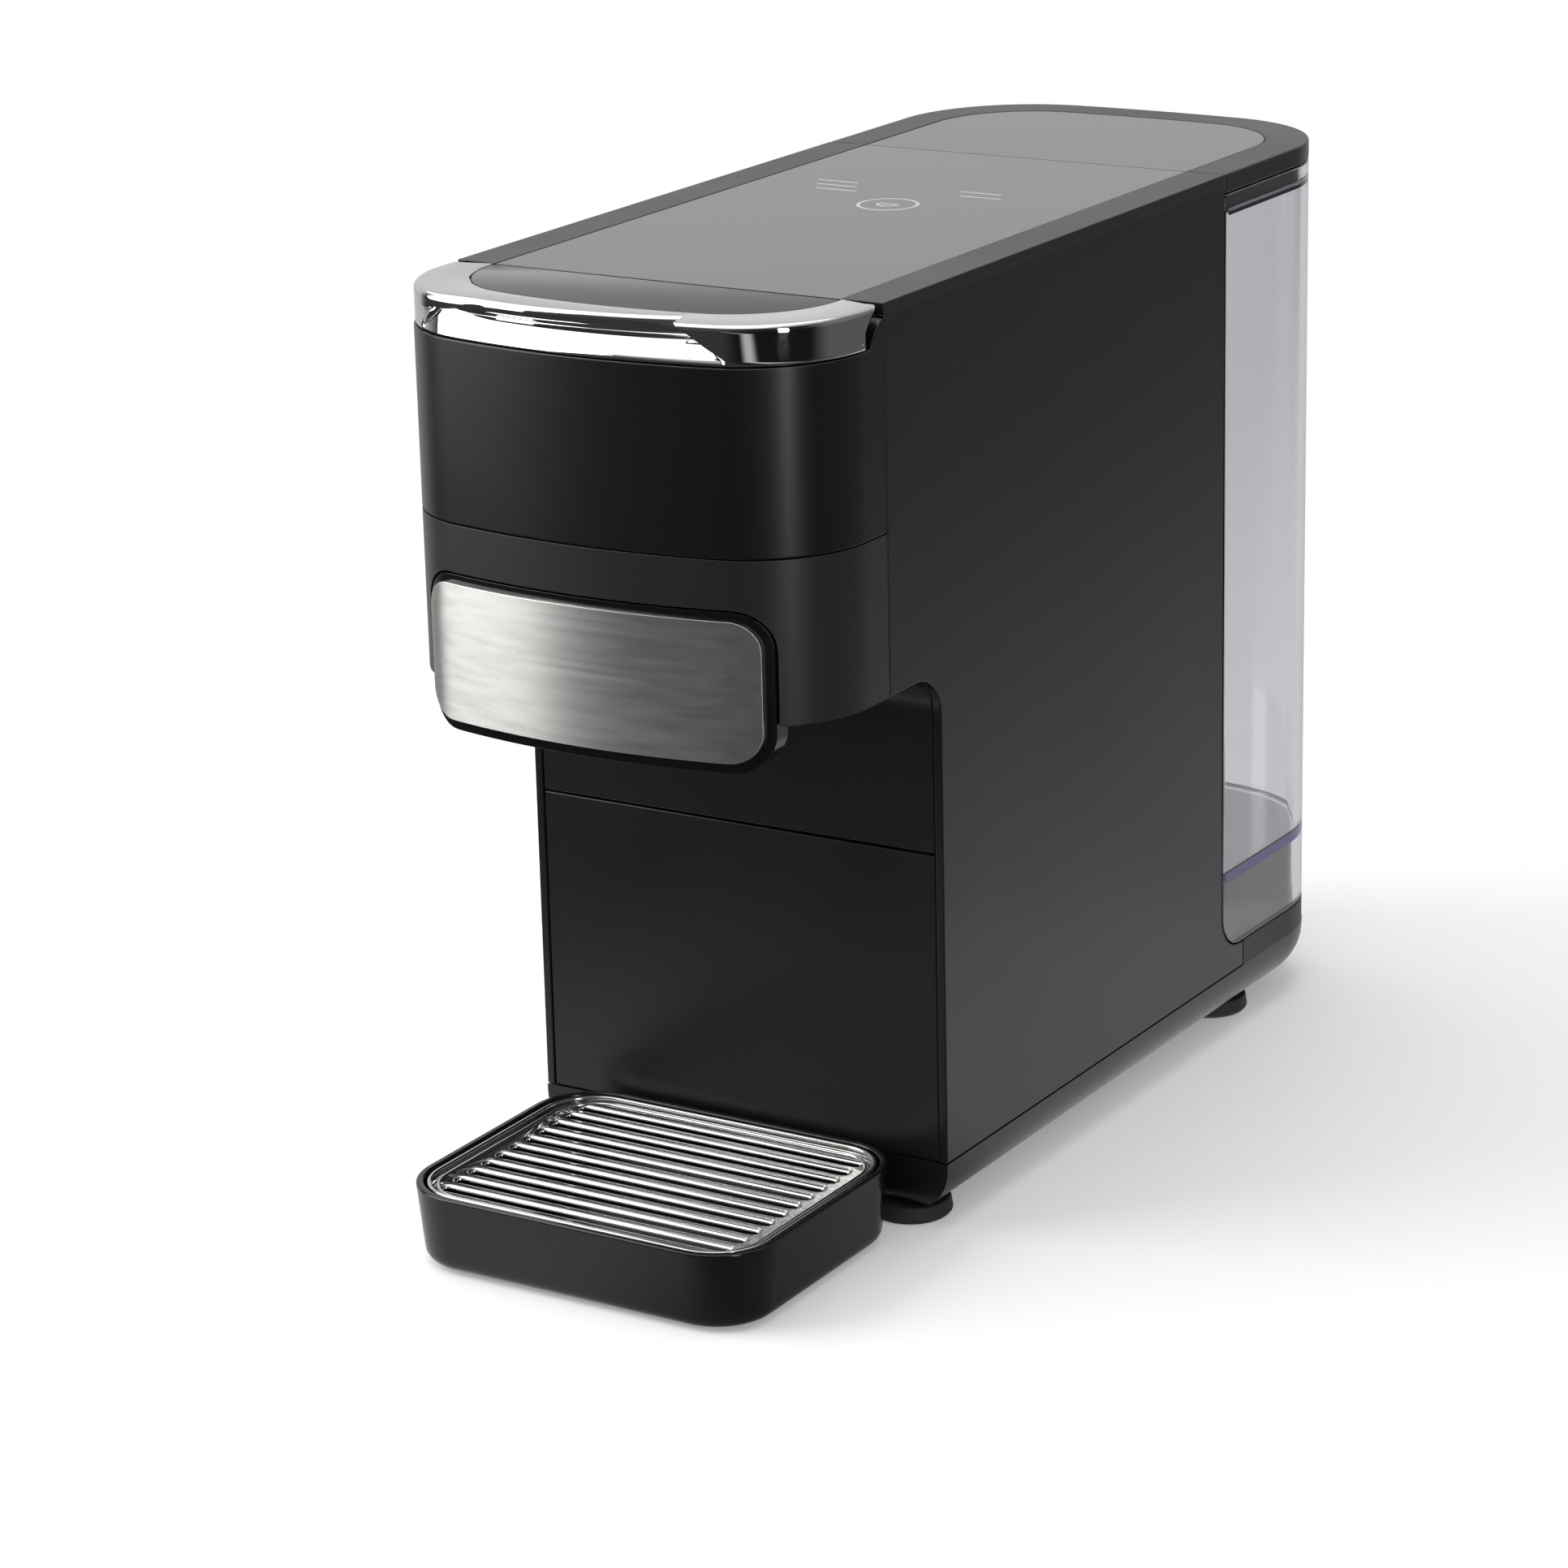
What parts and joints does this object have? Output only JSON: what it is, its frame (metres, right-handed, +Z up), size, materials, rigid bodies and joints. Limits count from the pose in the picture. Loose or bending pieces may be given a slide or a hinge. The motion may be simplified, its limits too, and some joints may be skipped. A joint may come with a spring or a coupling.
{
  "type": "pod coffee machine",
  "caption": "Narrow pod coffee machine with a lifting brew lever, a pull-out capsule drawer, a drip tray with slotted grille and a clear lift-off water tank.",
  "frame": {"origin": "centre of the overall box, on the table plane under the feet", "axes": "+Z up, -Y towards the user (drip tray side), +X to the machine's right seen from behind the tray"},
  "size_m": [0.13, 0.3417, 0.2615],
  "materials": {
    "shell": "satin black moulded plastic",
    "panel": "satin black moulded plastic",
    "frame": "satin dark grey moulded plastic",
    "glass_top": "glossy dark grey cover",
    "chrome": "polished chrome",
    "steel_plate": "brushed stainless steel",
    "grille": "polished stainless steel",
    "tank_clear": "clear moulded plastic",
    "rubber": "black rubber",
    "seal": "food-grade silicone",
    "zinc": "die-cast metal",
    "steel": "plain steel",
    "inner_black": "black moulded plastic",
    "inner_light": "white moulded plastic",
    "pump_body": "plated pump body",
    "board": "printed circuit board",
    "hose": "silicone hose"
  },
  "bodies": {
    "machine": {"base_pan": "shell", "rubber_feet": "rubber", "base_screws": "steel", "side_panel_left": "shell", "side_panel_right": "shell", "column_panel_lower": "panel", "column_panel_upper": "panel", "top_frame": "frame", "touch_glass": "glass_top", "touch_board": "board", "rear_cover": "inner_black", "chassis": "inner_black", "head_band_upper": "shell", "head_band_lower": "shell", "brew_frame": "zinc", "frame_screws": "steel", "piston_springs": "steel", "tank_dock": "inner_black", "dock_seal": "seal", "water_pump": "pump_body", "pump_mounts": "rubber", "thermoblock": "zinc", "thermal_cutout": "inner_light", "flow_meter": "inner_light", "suction_hose": "hose", "feed_hose": "hose", "pressure_hose": "hose", "hot_hose": "hose", "control_board": "board", "cord_gland": "rubber"},
    "lever": {"lever_frame": "chrome", "lever_inlay": "frame", "lever_arms": "zinc", "lever_shaft": "steel", "lever_cams": "inner_light"},
    "piston": {"brew_piston": "inner_light", "piston_seal": "seal", "piercing_pins": "steel", "inlet_elbow": "inner_light"},
    "drawer": {"drawer_body": "panel", "drawer_bezel": "panel", "drawer_plate": "steel_plate", "capsule_cup": "zinc", "drawer_spout": "inner_black"},
    "tray": {"drip_tray": "shell"},
    "grille": {"drip_grille": "grille"},
    "tank": {"water_tank": "tank_clear", "valve_seat": "inner_light"},
    "lid": {"tank_lid": "shell", "lid_inlay": "glass_top"},
    "valve": {"valve_poppet": "inner_black"}
  },
  "joints": [
    {"name": "lever_hinge", "type": "hinge", "parent": "machine", "child": "lever", "pos_m": [0, -0.1011, 0.246], "axis": [-1, 0, 0], "range_deg": [0, 44]},
    {"name": "piston_slide", "type": "slide", "parent": "machine", "child": "piston", "axis": [0, 0, 1], "range_m": [0, 0.0061], "deforming": ["piston_springs", "hot_hose"]},
    {"name": "drawer_slide", "type": "slide", "parent": "machine", "child": "drawer", "axis": [0, -1, 0], "range_m": [0, 0.06]},
    {"name": "tray_slide", "type": "slide", "parent": "machine", "child": "tray", "axis": [0, -1, 0], "range_m": [0, 0.06]},
    {"name": "grille_lift", "type": "slide", "parent": "tray", "child": "grille", "axis": [0, 0, 1], "range_m": [0, 0.03]},
    {"name": "tank_lift", "type": "slide", "parent": "machine", "child": "tank", "axis": [0, 0, 1], "range_m": [0, 0.12]},
    {"name": "lid_lift", "type": "slide", "parent": "tank", "child": "lid", "axis": [0, 0, 1], "range_m": [0, 0.04]},
    {"name": "valve_slide", "type": "slide", "parent": "tank", "child": "valve", "axis": [0, 0, 1], "range_m": [0, 0.003], "stiffness_N_per_m": 120}
  ],
  "couplings": [
    {"joint": "piston_slide", "follows": "lever_hinge", "m_per_rad": 0.007813}
  ]
}
